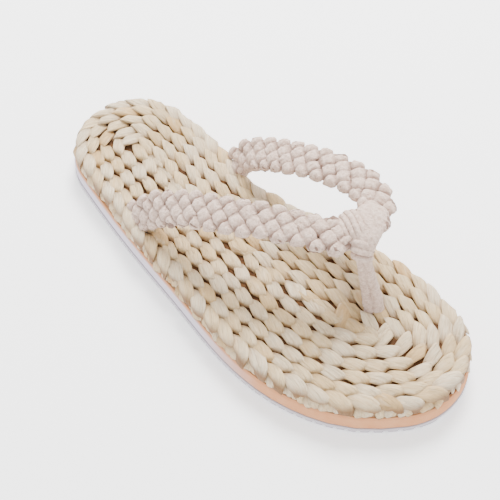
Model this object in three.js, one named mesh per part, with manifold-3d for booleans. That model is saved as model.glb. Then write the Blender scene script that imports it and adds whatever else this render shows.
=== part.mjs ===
// Thong slipper: ribbed outsole, foam midsole, coiled husk footbed and braided cotton straps.
// Millimetres, +X towards the toe, -Y the outer side of the foot, +Z up, floor at z = 0.
import * as THREE from 'three';
import { mergeVertices } from 'three/addons/utils/BufferGeometryUtils.js';
import Module from 'manifold-3d';

// Plan of the sole
const soleLength = 255;
const ballWidth = 96.3;
const planStep = 4.05;

// Layers of the sole, from the floor up
const outsoleThickness = 3.0;
const midsoleThickness = 7.7;
const footbedThickness = 8.6;
const clearance = 0.3;
const outsoleFlare = 0.5;
const midsoleBulge = 0.3;
const midsoleTuck = 0.5;

// Side of the midsole from the floor up: shares of its bulge, tuck and thickness
const midsoleSide = [
  { bulge: 0, tuck: 0, height: 0 },
  { bulge: 1, tuck: 0, height: 0.2 },
  { bulge: 1, tuck: 0, height: 0.55 },
  { bulge: 0, tuck: 0.5, height: 0.85 },
  { bulge: 0, tuck: 2, height: 1 },
];

// Ribs across the outsole
const ribPitch = 4.5;
const ribCrest = 2.7;
const ribRamp = 0.4;
const ribDepth = 1.5;

// Coiled plait of the footbed
const rowPitch = 7.4;
const rowValley = 2.3;
const leafColumns = 3;
const leafSlant = 2.6;
const leafRise = 1.1;
const edgeUndercut = 1.5;
const leastRow = 0.6;

// Side of the footbed above its undercut: shares of a row's pitch and of the thickness
const footbedSide = [
  { inset: 0, height: 0.36 },
  { inset: 0.13, height: 0.75 },
];

// Flat braid of the straps
const strapWidth = 20;
const strapThickness = 6.4;
const strapRise = 38;
const braidColumns = 4;
const braidPitch = 8.9;
const braidSteps = 4;
const braidRelief = 1.1;
const braidEdgeRelief = 0.8;
const braidBellyWidth = 14;
const braidBellyRound = 0.45;

// Bound join over the toe and the cord that runs down between the toes
const wrapWidth = 17;
const wrapThickness = 11;
const wrapEnd = 0.49;
const wrapStep = 3;
const postWidth = 8.4;
const postThickness = 6.6;
const postStep = 4;

// Squareness of the oval sections, 1 for an ellipse and less for a fuller one
const wrapPower = 0.8;
const postPower = 0.9;
const strapPocketPower = 0.5;

// Pockets in the footbed: the shares of each route that they follow
const strapPocketEnd = 0.15;
const postPocketStart = 0.7;
const pocketStep = 1.5;

const colours = {
  outsole: 0xcbc7cb,
  midsole: 0xdeb496,
  footbed: 0xebdec8,
  upper: 0xe1d8d5,
  toe_post: 0xe4dcd8,
};

// A row per section of the sole, heel to toe: radius and sideways shift of the circle that
// touches both edges there, as shares of half the ball width.
const planRows = [
  { radius: 0.716, shift: 0.000 },
  { radius: 0.754, shift: -0.031 },
  { radius: 0.764, shift: -0.086 },
  { radius: 0.762, shift: -0.146 },
  { radius: 0.765, shift: -0.194 },
  { radius: 0.788, shift: -0.217 },
  { radius: 0.829, shift: -0.221 },
  { radius: 0.884, shift: -0.217 },
  { radius: 0.943, shift: -0.206 },
  { radius: 0.990, shift: -0.185 },
  { radius: 1.000, shift: -0.145 },
  { radius: 0.943, shift: -0.071 },
  { radius: 0.789, shift: 0.049 },
];

// Routes of the straps: along and across are shares of half the length and half the ball
// width, rise is a share of the strap rise above the footbed, heading and dip turn the
// width of the strap in plan and below level, in degrees.
const outerRoute = [
  { along: -0.437, across: -0.745, rise: -0.12, heading: -18, dip: 0 },
  { along: -0.335, across: -0.645, rise: 0.25, heading: -36, dip: 26 },
  { along: -0.268, across: -0.595, rise: 0.43, heading: -46, dip: 26 },
  { along: -0.172, across: -0.532, rise: 0.63, heading: -56, dip: 22 },
  { along: -0.028, across: -0.425, rise: 0.83, heading: -62, dip: 18 },
  { along: 0.095, across: -0.280, rise: 0.92, heading: -63, dip: 16 },
  { along: 0.211, across: -0.122, rise: 0.96, heading: -62, dip: 12 },
  { along: 0.324, across: 0.038, rise: 0.97, heading: -58, dip: 8 },
  { along: 0.410, across: 0.190, rise: 0.95, heading: -54, dip: 4 },
];

const innerRoute = [
  { along: -0.352, across: 0.560, rise: -0.12, heading: -23, dip: 0 },
  { along: -0.282, across: 0.617, rise: 0.24, heading: -46, dip: 18 },
  { along: -0.192, across: 0.637, rise: 0.48, heading: -66, dip: 17 },
  { along: -0.089, across: 0.664, rise: 0.67, heading: -78, dip: 15 },
  { along: 0.005, across: 0.706, rise: 0.80, heading: -82, dip: 13 },
  { along: 0.096, across: 0.745, rise: 0.89, heading: -84, dip: 11 },
  { along: 0.186, across: 0.780, rise: 0.95, heading: -88, dip: 9 },
  { along: 0.280, across: 0.785, rise: 0.98, heading: -98, dip: 6 },
  { along: 0.370, across: 0.690, rise: 0.99, heading: -125, dip: 3 },
  { along: 0.418, across: 0.470, rise: 1.01, heading: -152, dip: 0 },
];

const thongRoute = [
  { along: 0.370, across: 0.690, rise: 0.99, heading: -125, dip: 3 },
  { along: 0.418, across: 0.440, rise: 1.02, heading: -152, dip: 0 },
  { along: 0.450, across: 0.265, rise: 0.96, heading: -150, dip: 0 },
  { along: 0.478, across: 0.200, rise: 0.82, heading: -148, dip: 0 },
  { along: 0.490, across: 0.210, rise: 0.62, heading: -146, dip: 0 },
  { along: 0.508, across: 0.230, rise: 0.36, heading: -146, dip: 0 },
  { along: 0.532, across: 0.225, rise: 0.15, heading: -146, dip: 0 },
  { along: 0.560, across: 0.208, rise: -0.03, heading: -146, dip: 0 },
  { along: 0.567, across: 0.200, rise: -0.13, heading: -146, dip: 0 },
];

const halfLength = soleLength / 2;
const halfBall = ballWidth / 2;
const midsoleFloor = outsoleThickness + clearance;
const midsoleTop = midsoleFloor + midsoleThickness;
const footbedFloor = midsoleTop + clearance;
const footbedTop = footbedFloor + footbedThickness;

function makeSpine() {
  const heelX = -halfLength + planRows[0].radius * halfBall;
  const toeX = halfLength - planRows[planRows.length - 1].radius * halfBall;
  const points = planRows.map((row, i) => {
    const x = THREE.MathUtils.lerp(heelX, toeX, i / (planRows.length - 1));
    return new THREE.Vector3(x, row.shift * halfBall, row.radius * halfBall);
  });
  return new THREE.CatmullRomCurve3(points, false, 'catmullrom', 0.5);
}

// The plan is a closed loop of columns, each a line from the edge straight in to the spine.
function makePlan() {
  const spine = makeSpine();
  const axis = [];
  const angles = [];
  const count = Math.round((soleLength - ballWidth) / planStep);
  const nudge = 0.002; // share of the spine, to read its direction
  for (let i = 0; i <= count; i++) {
    const t = i / count;
    const here = spine.getPoint(t);
    const before = spine.getPoint(Math.max(t - nudge, 0));
    const after = spine.getPoint(Math.min(t + nudge, 1));
    const run = Math.hypot(after.x - before.x, after.y - before.y);
    const growth = (after.z - before.z) / run;
    const bearing = Math.atan2(after.y - before.y, after.x - before.x);
    axis.push({ x: here.x, y: here.y, radius: here.z });
    angles.push({ bearing, spread: Math.acos(-growth) });
  }
  const columns = [];
  const addColumn = (i, angle) => {
    columns.push({ station: i, dx: Math.cos(angle), dy: Math.sin(angle), radius: axis[i].radius });
  };
  const addFan = (i, from, to) => {
    const steps = Math.round(Math.abs(to - from) * axis[i].radius / planStep);
    for (let k = 1; k < steps; k++) {
      addColumn(i, THREE.MathUtils.lerp(from, to, k / steps));
    }
  };
  const toe = angles[count];
  const heel = angles[0];
  for (let i = 0; i <= count; i++) {
    addColumn(i, angles[i].bearing - angles[i].spread);
  }
  addFan(count, toe.bearing - toe.spread, toe.bearing + toe.spread);
  for (let i = count; i >= 0; i--) {
    addColumn(i, angles[i].bearing + angles[i].spread);
  }
  addFan(0, heel.bearing + heel.spread, heel.bearing - heel.spread + 2 * Math.PI);
  return { axis, columns };
}

function planPoint(plan, column, inset) {
  const centre = plan.axis[column.station];
  const reach = column.radius - inset;
  return [centre.x + column.dx * reach, centre.y + column.dy * reach];
}

function toGeometry(positions, faces) {
  const geometry = new THREE.BufferGeometry();
  geometry.setAttribute('position', new THREE.Float32BufferAttribute(positions.flat(), 3));
  geometry.setIndex(faces.flat());
  return geometry;
}

// A closed solid from rings that follow the plan. Each ring gives inset and height at a
// column, or nothing where it has run in to the spine.
function ringSolid(plan, rings, floorHeight, spineHeight) {
  const positions = [];
  const addPoint = (x, y, z) => positions.push([x, y, z]) - 1;
  const below = plan.axis.map((p) => addPoint(p.x, p.y, floorHeight));
  const above = plan.axis.map((p, i) => addPoint(p.x, p.y, spineHeight(i)));
  const loops = [plan.columns.map((column) => below[column.station])];
  for (const ring of rings) {
    loops.push(plan.columns.map((column, c) => {
      const at = ring(column, c);
      if (!at) {
        return above[column.station];
      }
      const [x, y] = planPoint(plan, column, at.inset);
      return addPoint(x, y, at.height);
    }));
  }
  loops.push(plan.columns.map((column) => above[column.station]));
  const faces = [];
  const addFace = (a, b, c) => {
    if (a !== b && b !== c && c !== a) {
      faces.push([a, b, c]);
    }
  };
  for (let j = 0; j + 1 < loops.length; j++) {
    for (let c = 0; c < plan.columns.length; c++) {
      const next = (c + 1) % plan.columns.length;
      addFace(loops[j][c], loops[j][next], loops[j + 1][next]);
      addFace(loops[j][c], loops[j + 1][next], loops[j + 1][c]);
    }
  }
  return toGeometry(positions, faces);
}

function makeMidsole(plan) {
  const rings = midsoleSide.map((point) => () => ({
    inset: point.tuck * midsoleTuck - point.bulge * midsoleBulge,
    height: midsoleFloor + point.height * midsoleThickness,
  }));
  return ringSolid(plan, rings, midsoleFloor, () => midsoleTop);
}

// Rows of the coil run round the edge; valleys and crests alternate, and each leaf on a
// crest slants across its row and sinks to where the next one covers it.
function makeFootbed(plan) {
  const crestTop = footbedTop;
  const valleyTop = footbedTop - rowValley;
  const side = footbedSide.map((point) => () => ({
    inset: point.inset * rowPitch,
    height: footbedFloor + point.height * footbedThickness,
  }));
  const rings = [() => ({ inset: edgeUndercut, height: footbedFloor }), ...side];
  const halfRow = rowPitch / 2;
  const widest = Math.max(...plan.columns.map((column) => column.radius));
  for (let j = 1; j * halfRow < widest; j++) {
    rings.push((column, c) => {
      const base = j * halfRow;
      if (base > column.radius - halfRow * leastRow) {
        return null;
      }
      if (j % 2 === 0) {
        return { inset: base, height: valleyTop };
      }
      const phase = ((c + (j - 1) / 2) % leafColumns) / (leafColumns - 1);
      return { inset: base - (phase - 0.5) * leafSlant, height: crestTop - (1 - phase) * leafRise };
    });
  }
  return ringSolid(plan, rings, footbedFloor, () => crestTop - rowValley / 2);
}

// Crossings of the plan's edge with a line across the sole, nearest each side.
function edgesAt(loop, x) {
  const hits = [];
  for (let i = 0; i < loop.length; i++) {
    const [ax, ay] = loop[i];
    const [bx, by] = loop[(i + 1) % loop.length];
    if ((ax - x) * (bx - x) <= 0 && ax !== bx) {
      hits.push(THREE.MathUtils.mapLinear(x, ax, bx, ay, by));
    }
  }
  return [Math.min(...hits), Math.max(...hits)];
}

function ribHeight(fromHeel) {
  const along = fromHeel % ribPitch;
  if (along < ribCrest) {
    return 0;
  }
  const intoGroove = Math.min(along - ribCrest, ribPitch - along);
  return ribDepth * Math.min(intoGroove / ribRamp, 1);
}

function makeOutsole(plan) {
  const loop = plan.columns.map((column) => planPoint(plan, column, -outsoleFlare));
  const heelX = Math.min(...loop.map((p) => p[0]));
  const toeX = Math.max(...loop.map((p) => p[0]));
  const length = toeX - heelX;
  const tips = [0.01, 0.1, 0.35, 0.7].map((share) => share * ribCrest);
  const stops = [...tips, ...tips.map((tip) => length - tip)];
  for (let start = 0; start < length; start += ribPitch) {
    stops.push(start, start + ribCrest, start + ribCrest + ribRamp, start + ribPitch - ribRamp);
  }
  const inside = stops.filter((s) => s >= tips[0] && s <= length - tips[0]);
  const sorted = [...new Set(inside.map((s) => Number(s.toFixed(3))))].sort((a, b) => a - b);
  const positions = [];
  const faces = [];
  sorted.forEach((s, i) => {
    const x = heelX + s;
    const [outer, inner] = edgesAt(loop, x);
    const floor = ribHeight(s);
    positions.push([x, outer, floor], [x, inner, floor]);
    positions.push([x, inner, outsoleThickness], [x, outer, outsoleThickness]);
    if (i === 0) {
      faces.push([0, 2, 1], [0, 3, 2]);
      return;
    }
    const a = 4 * (i - 1);
    const b = 4 * i;
    for (let k = 0; k < 4; k++) {
      const n = (k + 1) % 4;
      faces.push([a + k, a + n, b + n], [a + k, b + n, b + k]);
    }
  });
  const last = 4 * (sorted.length - 1);
  faces.push([last, last + 1, last + 2], [last, last + 2, last + 3]);
  return toGeometry(positions, faces);
}

function makeRoute(rows) {
  const points = rows.map((row) => new THREE.Vector3(
    row.along * halfLength,
    row.across * halfBall,
    footbedTop + row.rise * strapRise,
  ));
  const widths = rows.map((row) => {
    const heading = THREE.MathUtils.degToRad(row.heading);
    const dip = THREE.MathUtils.degToRad(row.dip);
    return new THREE.Vector3(
      Math.cos(heading) * Math.cos(dip),
      Math.sin(heading) * Math.cos(dip),
      -Math.sin(dip),
    );
  });
  const path = new THREE.CatmullRomCurve3(points, false, 'centripetal');
  const width = new THREE.CatmullRomCurve3(widths, false, 'centripetal');
  return { path, width, length: path.getLength() };
}

// Position and section axes at a share of the route's length. A strap leaves the footbed
// at a slant, so its width there lies level and not square to the route.
function frameAt(route, share) {
  const t = route.path.getUtoTmapping(share);
  const centre = route.path.getPoint(t);
  const along = route.path.getTangent(t);
  const across = route.width.getPoint(t).normalize();
  const face = new THREE.Vector3().crossVectors(across, along).normalize();
  return { centre, across, face };
}

// A closed sweep: section(i, s) gives the points [across, face] at distance s on the route.
function sweep(route, from, to, step, section) {
  const steps = Math.max(2, Math.round((to - from) * route.length / step));
  const positions = [];
  const faces = [];
  let size = 0;
  for (let i = 0; i <= steps; i++) {
    const share = THREE.MathUtils.lerp(from, to, i / steps);
    const { centre, across, face } = frameAt(route, share);
    const points = section(i, (share - from) * route.length);
    size = points.length;
    for (const [a, b] of points) {
      const p = centre.clone().addScaledVector(across, a).addScaledVector(face, b);
      positions.push([p.x, p.y, p.z]);
    }
  }
  for (let i = 0; i < steps; i++) {
    for (let k = 0; k < size; k++) {
      const n = (k + 1) % size;
      const a = i * size;
      const b = a + size;
      faces.push([a + k, a + n, b + n], [a + k, b + n, b + k]);
    }
  }
  for (let k = 1; k + 1 < size; k++) {
    const last = steps * size;
    faces.push([0, k + 1, k], [last, last + k, last + k + 1]);
  }
  return toGeometry(positions, faces);
}

// Section of the flat braid: lozenges stand up on top in staggered columns.
function braidSection(width, s) {
  const half = width / 2;
  const points = [];
  const marks = 2 * braidColumns;
  for (let k = 0; k <= marks; k++) {
    const share = k / marks * 2 - 1;
    const column = Math.floor((k - 1) / 2);
    const wave = 0.5 + 0.5 * Math.cos(2 * Math.PI * (s / braidPitch + column / 2));
    const onEdge = k === 0 || k === marks;
    const sink = k % 2 === 1 ? braidRelief * (1 - wave) : braidRelief;
    const bulge = onEdge ? half - braidEdgeRelief * wave : half * Math.abs(share);
    points.push([Math.sign(share) * bulge, onEdge ? 0 : strapThickness / 2 - sink]);
  }
  points.push([braidBellyWidth / 2, braidBellyRound - strapThickness / 2]);
  points.push([0, -strapThickness / 2]);
  points.push([-braidBellyWidth / 2, braidBellyRound - strapThickness / 2]);
  return points;
}

// Oval that is squarer with a lower power; a power of 1 is an ellipse.
function ovalSection(width, thickness, power) {
  const points = [];
  const sides = 12;
  const bend = (value) => Math.sign(value) * Math.abs(value) ** power;
  for (let k = 0; k < sides; k++) {
    const angle = -2 * Math.PI * k / sides;
    points.push([width / 2 * bend(Math.cos(angle)), thickness / 2 * bend(Math.sin(angle))]);
  }
  return points;
}

function strapSolid(route) {
  const seat = 2 * clearance / route.length;
  return sweep(route, seat, 1, braidPitch / braidSteps, (i, s) => braidSection(strapWidth, s));
}

// Blunt band: a full section that rounds off at both ends.
function wrapSolid(route, to) {
  const steps = Math.round(to * route.length / wrapStep);
  return sweep(route, 0, to, wrapStep, (i) => {
    const share = i / steps;
    const swell = Math.sqrt(Math.max(1 - (2 * share - 1) ** 4, 0));
    const width = THREE.MathUtils.lerp(postWidth, wrapWidth, swell);
    const thickness = THREE.MathUtils.lerp(postThickness, wrapThickness, swell);
    return ovalSection(width, thickness, wrapPower);
  });
}

const wasm = await Module();
wasm.setup();

function toSolid(geometry) {
  const bare = new THREE.BufferGeometry();
  bare.setAttribute('position', geometry.getAttribute('position'));
  bare.setIndex(geometry.getIndex());
  const welded = mergeVertices(bare, 1e-4);
  return new wasm.Manifold(new wasm.Mesh({
    numProp: 3,
    vertProperties: new Float32Array(welded.getAttribute('position').array),
    triVerts: new Uint32Array(welded.getIndex().array),
  }));
}

function fromSolid(solid) {
  const mesh = solid.getMesh();
  const geometry = new THREE.BufferGeometry();
  geometry.setAttribute('position', new THREE.Float32BufferAttribute(mesh.vertProperties, 3));
  geometry.setIndex(new THREE.Uint32BufferAttribute(mesh.triVerts, 1));
  return geometry;
}

function joinAll(first, ...others) {
  return others.reduce((solid, other) => solid.add(toSolid(other)), toSolid(first));
}

function addNode(group, name, geometry, roughness) {
  geometry.computeVertexNormals();
  const material = new THREE.MeshStandardMaterial({ color: colours[name], roughness, metalness: 0 });
  material.name = name;
  const mesh = new THREE.Mesh(geometry, material);
  mesh.name = name;
  group.add(mesh);
}

const plan = makePlan();
const outerStrap = makeRoute(outerRoute);
const innerStrap = makeRoute(innerRoute);
const thong = makeRoute(thongRoute);
const postStart = wrapEnd + clearance / thong.length;

const upper = joinAll(
  strapSolid(innerStrap),
  strapSolid(outerStrap),
  wrapSolid(thong, wrapEnd),
);
const postSeat = 1 - 2 * clearance / thong.length;
const postSection = () => ovalSection(postWidth, postThickness, postPower);
const toePost = sweep(thong, postStart, postSeat, postStep, postSection);

// Pockets in the footbed keep the clearance round each strap end and the post.
const strapRoom = [strapWidth + 5 * clearance, strapThickness + 4 * clearance];
const postRoom = [postWidth + 3 * clearance, postThickness + 3 * clearance];
const strapPocket = () => ovalSection(...strapRoom, strapPocketPower);
const postPocket = () => ovalSection(...postRoom, postPower);
let footbed = toSolid(makeFootbed(plan));
footbed = footbed.subtract(toSolid(sweep(outerStrap, 0, strapPocketEnd, pocketStep, strapPocket)));
footbed = footbed.subtract(toSolid(sweep(innerStrap, 0, strapPocketEnd, pocketStep, strapPocket)));
footbed = footbed.subtract(toSolid(sweep(thong, postPocketStart, 1, pocketStep, postPocket)));

const slipper = new THREE.Group();
slipper.name = 'woven_slipper';
addNode(slipper, 'outsole', makeOutsole(plan), 0.85);
addNode(slipper, 'midsole', makeMidsole(plan), 0.8);
addNode(slipper, 'footbed', fromSolid(footbed), 0.7);
addNode(slipper, 'upper', fromSolid(upper), 0.95);
addNode(slipper, 'toe_post', toePost, 0.95);

// The origin sits on the floor at the middle of the whole slipper.
const middle = new THREE.Box3().setFromObject(slipper).getCenter(new THREE.Vector3());
slipper.children.forEach((mesh) => mesh.geometry.translate(-middle.x, -middle.y, 0));

export default slipper;
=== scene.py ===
import math

import bmesh
import bpy
import numpy as np
from mathutils import Matrix, Vector


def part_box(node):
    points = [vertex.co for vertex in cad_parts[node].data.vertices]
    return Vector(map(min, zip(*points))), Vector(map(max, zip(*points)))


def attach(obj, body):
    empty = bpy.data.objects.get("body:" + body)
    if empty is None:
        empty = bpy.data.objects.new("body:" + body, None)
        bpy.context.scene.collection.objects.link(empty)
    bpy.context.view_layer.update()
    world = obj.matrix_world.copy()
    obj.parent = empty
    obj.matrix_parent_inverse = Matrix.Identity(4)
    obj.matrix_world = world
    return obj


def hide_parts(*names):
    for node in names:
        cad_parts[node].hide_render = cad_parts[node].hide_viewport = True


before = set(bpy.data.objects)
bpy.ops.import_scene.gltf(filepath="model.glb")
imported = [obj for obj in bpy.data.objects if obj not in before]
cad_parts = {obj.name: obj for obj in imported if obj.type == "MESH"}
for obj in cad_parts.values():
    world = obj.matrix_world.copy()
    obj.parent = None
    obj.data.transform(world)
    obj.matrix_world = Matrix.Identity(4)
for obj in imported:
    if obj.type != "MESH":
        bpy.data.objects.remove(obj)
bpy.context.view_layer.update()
toMetres = 0.001

sole = {
    "length": 255.0,
    "ballWidth": 96.3,
    "flare": 0.5,
    "stations": 240,
    "endColumns": 120,  # columns round the heel, and again round the toe
    "footbedTop": 19.9,
    # heel to toe: radius and sideways shift of the circle that touches both edges
    "rows": [
        (0.716, 0.000), (0.754, -0.031), (0.764, -0.086), (0.762, -0.146), (0.765, -0.194),
        (0.788, -0.217), (0.829, -0.221), (0.884, -0.217), (0.943, -0.206), (0.990, -0.185),
        (1.000, -0.145), (0.943, -0.071), (0.789, 0.049),
    ],
}

# along, across and rise as shares, then heading and dip of the strap's width in degrees
outerRoute = [
    (-0.437, -0.745, -0.12, -18, 0), (-0.335, -0.645, 0.25, -36, 26),
    (-0.268, -0.595, 0.43, -46, 26), (-0.172, -0.532, 0.63, -56, 22),
    (-0.028, -0.425, 0.83, -62, 18), (0.095, -0.280, 0.92, -63, 16),
    (0.211, -0.122, 0.96, -62, 12), (0.324, 0.038, 0.97, -58, 8), (0.410, 0.190, 0.95, -54, 4),
]
innerRoute = [
    (-0.352, 0.560, -0.12, -23, 0), (-0.282, 0.617, 0.24, -46, 18), (-0.192, 0.637, 0.48, -66, 17),
    (-0.089, 0.664, 0.67, -78, 15), (0.005, 0.706, 0.80, -82, 13), (0.096, 0.745, 0.89, -84, 11),
    (0.186, 0.780, 0.95, -88, 9), (0.280, 0.785, 0.98, -98, 6), (0.370, 0.690, 0.99, -125, 3),
    (0.418, 0.470, 1.01, -152, 0),
]
innerTail = [(0.450, 0.275, 0.95, -150, 0), (0.469, 0.215, 0.85, -148, 0)]  # on under the knot
thongRoute = [
    (0.370, 0.690, 0.99, -125, 3), (0.418, 0.440, 1.02, -152, 0), (0.450, 0.265, 0.96, -150, 0),
    (0.478, 0.200, 0.82, -148, 0), (0.490, 0.210, 0.62, -146, 0), (0.508, 0.230, 0.36, -146, 0),
    (0.532, 0.225, 0.15, -146, 0), (0.556, 0.208, -0.06, -146, 0), (0.561, 0.202, -0.17, -146, 0),
]
strapRise = 38.0
routeSteps = 1200  # points of a strap's curve before it is cut to even steps
halfLength = sole["length"] / 2
halfBall = sole["ballWidth"] / 2


def smooth(value):
    value = np.clip(value, 0.0, 1.0)
    return value * value * (3 - 2 * value)


# a curve through points; even knots for the sole's spine, root-spaced ones for the straps
def curveThrough(points, count, even):
    points = np.asarray(points, float)
    first = 2 * points[0] - points[1]
    last = 2 * points[-1] - points[-2]
    held = np.vstack([first, points, last])
    out = []
    spans = len(points) - 1
    for t in np.linspace(0, spans, count):
        i = min(int(t), spans - 1)
        f = t - i
        a, b, c, d = held[i:i + 4]
        if even:
            m0, m1 = (c - a) / 2, (d - b) / 2
        else:
            gaps = (b - a, c - b, d - c)
            k0, k1, k2 = [max(np.dot(gap, gap) ** 0.25, 1e-6) for gap in gaps]
            m0 = ((b - a) / k0 - (c - a) / (k0 + k1) + (c - b) / k1) * k1
            m1 = ((c - b) / k1 - (d - b) / (k1 + k2) + (d - c) / k2) * k1
        out.append(
            (2 * f ** 3 - 3 * f ** 2 + 1) * b + (f ** 3 - 2 * f ** 2 + f) * m0
            + (3 * f ** 2 - 2 * f ** 3) * c + (f ** 3 - f ** 2) * m1
        )
    return np.array(out)


# columns run round the sole counter-clockwise from the heel's outer side: x, y, dx, dy, radius
def makePlan():
    heelX = -halfLength + sole["rows"][0][0] * halfBall
    toeX = halfLength - sole["rows"][-1][0] * halfBall
    xs = np.linspace(heelX, toeX, len(sole["rows"]))
    knots = [(x, side * halfBall, radius * halfBall) for x, (radius, side) in zip(xs, sole["rows"])]
    spine = curveThrough(knots, sole["stations"] + 1, True)
    slope = np.gradient(spine, axis=0)
    bearing = np.arctan2(slope[:, 1], slope[:, 0])
    spread = np.arccos(np.clip(-slope[:, 2] / np.hypot(slope[:, 0], slope[:, 1]), -1, 1))
    columns = []

    def column(i, angle):
        columns.append((spine[i, 0], spine[i, 1], math.cos(angle), math.sin(angle), spine[i, 2]))

    n, ends = sole["stations"], sole["endColumns"]
    for i in range(n + 1):
        column(i, bearing[i] - spread[i])
    for angle in np.linspace(bearing[n] - spread[n], bearing[n] + spread[n], ends)[1:-1]:
        column(n, angle)
    for i in range(n, -1, -1):
        column(i, bearing[i] + spread[i])
    whole = 2 * math.pi
    for angle in np.linspace(bearing[0] + spread[0], bearing[0] - spread[0] + whole, ends)[1:-1]:
        column(0, angle)
    return spine, np.array(columns)


spine, columns = makePlan()


def planRing(inset, atLeast=0.0):
    held = columns[columns[:, 4] > max(inset, atLeast)]
    return held[:, :2] + held[:, 2:4] * (held[:, 4] - inset)[:, None]


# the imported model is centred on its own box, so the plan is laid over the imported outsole
outline = planRing(-sole["flare"])
low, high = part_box("outsole")
planMiddle = (outline.min(0) + outline.max(0)) / 2
packedMiddle = np.array([(low[i] + high[i]) / 2 for i in (0, 1)]) / toMetres
shift = np.array([*(packedMiddle - planMiddle), 0.0])
print("plan laid over the packed sole, moved by", [round(float(v), 2) for v in shift])


# positions, width direction and facing of a strap at even steps
def layRoute(rows, step, start=0.0, end=1.0):
    points, widths = [], []
    for along, across, rise, heading, dip in rows:
        height = sole["footbedTop"] + rise * strapRise
        points.append((along * halfLength, across * halfBall, height))
        heading, dip = math.radians(heading), math.radians(dip)
        level = math.cos(dip)
        widths.append((math.cos(heading) * level, math.sin(heading) * level, -math.sin(dip)))
    fine = curveThrough(points, routeSteps, False)
    wide = curveThrough(widths, routeSteps, False)
    run = np.concatenate([[0], np.cumsum(np.linalg.norm(np.diff(fine, axis=0), axis=1))])
    length = run[-1]
    count = max(int(length * (end - start) / step), 4)
    at = np.linspace(start, end, count + 1) * length
    centre = np.stack([np.interp(at, run, fine[:, k]) for k in range(3)], 1)
    across = np.stack([np.interp(at, run, wide[:, k]) for k in range(3)], 1)
    across /= np.linalg.norm(across, axis=1)[:, None]
    along = np.gradient(centre, axis=0)
    facing = np.cross(across, along)
    facing /= np.linalg.norm(facing, axis=1)[:, None]
    return {"centre": centre, "across": across, "facing": facing, "at": at, "length": length}


def newTree(name, sizes):
    tree = bpy.data.node_groups.new(name, "GeometryNodeTree")
    tree.interface.new_socket("Geometry", in_out="INPUT", socket_type="NodeSocketGeometry")
    names = {}
    for label, kind, value in sizes:
        socket = tree.interface.new_socket(label, in_out="INPUT", socket_type=kind)
        if value is not None:
            socket.default_value = value
        names[label] = socket.identifier
    tree.interface.new_socket("Geometry", in_out="OUTPUT", socket_type="NodeSocketGeometry")
    return tree, names


def addNode(tree, kind, **settings):
    node = tree.nodes.new(kind)
    for name, value in settings.items():
        setattr(node, name, value)
    return node


def namedAttribute(tree, name, kind):
    node = addNode(tree, "GeometryNodeInputNamedAttribute", data_type=kind)
    node.inputs["Name"].default_value = name
    return [s for s in node.outputs if s.enabled and s.name == "Attribute"][0]


def plainMesh(source, tree, names, values):
    modifier = source.modifiers.new(tree.name, "NODES")
    modifier.node_group = tree
    for label, value in values.items():
        modifier[names[label]] = value
    bpy.context.view_layer.update()
    graph = bpy.context.evaluated_depsgraph_get()
    mesh = bpy.data.meshes.new_from_object(
        source.evaluated_get(graph), preserve_all_data_layers=True, depsgraph=graph)
    source.modifiers.remove(modifier)
    old = source.data
    source.data = mesh
    mesh.name = source.name
    bpy.data.meshes.remove(old)
    return source


def faceOutwards(thing):
    work = bmesh.new()
    work.from_mesh(thing.data)
    bmesh.ops.recalc_face_normals(work, faces=work.faces)
    work.to_mesh(thing.data)
    work.free()


def addMesh(name, points, edges, faces, attributes=None, link=True):
    mesh = bpy.data.meshes.new(name)
    mesh.from_pydata([tuple(p) for p in points], edges, faces)
    for label, (kind, values) in (attributes or {}).items():
        layer = mesh.attributes.new(label, kind, "POINT")
        values = np.asarray(values)
        layer.data.foreach_set("vector" if kind == "FLOAT_VECTOR" else "value", values.ravel())
    mesh.update()
    thing = bpy.data.objects.new(name, mesh)
    if link:
        bpy.context.scene.collection.objects.link(thing)
    return thing


def newMaterial(name, roughness, specular):
    material = bpy.data.materials.new(name)
    material.use_nodes = True
    tree = material.node_tree
    shader = tree.nodes["Principled BSDF"]
    shader.inputs["Roughness"].default_value = roughness
    shader.inputs["Specular IOR Level"].default_value = specular
    return material, tree, shader


def srgb(r, g, b):
    def line(v):
        v /= 255
        return v / 12.92 if v < 0.04045 else ((v + 0.055) / 1.055) ** 2.4
    return (line(r), line(g), line(b), 1.0)


def mixColour(tree, share, first, second):
    node = addNode(tree, "ShaderNodeMix", data_type="RGBA")
    for i, value in ((0, share), (6, first), (7, second)):
        socket = node.inputs[i]
        if isinstance(value, (int, float, tuple)):
            socket.default_value = value
        else:
            tree.links.new(value, socket)
    return node.outputs[2]


def ramp(tree, value, stops):
    node = addNode(tree, "ShaderNodeValToRGB")
    band = node.color_ramp
    while len(band.elements) < len(stops):
        band.elements.new(0.5)
    for element, (place, colour) in zip(band.elements, stops):
        element.position = place
        element.color = colour if isinstance(colour, tuple) else (colour, colour, colour, 1)
    tree.links.new(value, node.inputs[0])
    return node.outputs[0]


def noise(tree, vector, scale, detail=3.0, roughness=0.55):
    node = addNode(tree, "ShaderNodeTexNoise")
    node.inputs["Scale"].default_value = scale
    node.inputs["Detail"].default_value = detail
    node.inputs["Roughness"].default_value = roughness
    tree.links.new(vector, node.inputs["Vector"])
    return node.outputs["Fac"]


def bump(tree, shader, height, strength, distance, onTop=None):
    node = addNode(tree, "ShaderNodeBump")
    node.inputs["Strength"].default_value = strength
    node.inputs["Distance"].default_value = distance
    tree.links.new(height, node.inputs["Height"])
    if onTop:
        tree.links.new(onTop, node.inputs["Normal"])
    tree.links.new(node.outputs["Normal"], shader.inputs["Normal"])
    return node.outputs["Normal"]


def objectCoords(tree):
    return addNode(tree, "ShaderNodeTexCoord").outputs["Object"]


def attribute(tree, name, part="Fac"):
    return addNode(tree, "ShaderNodeAttribute", attribute_name=name).outputs[part]


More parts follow.
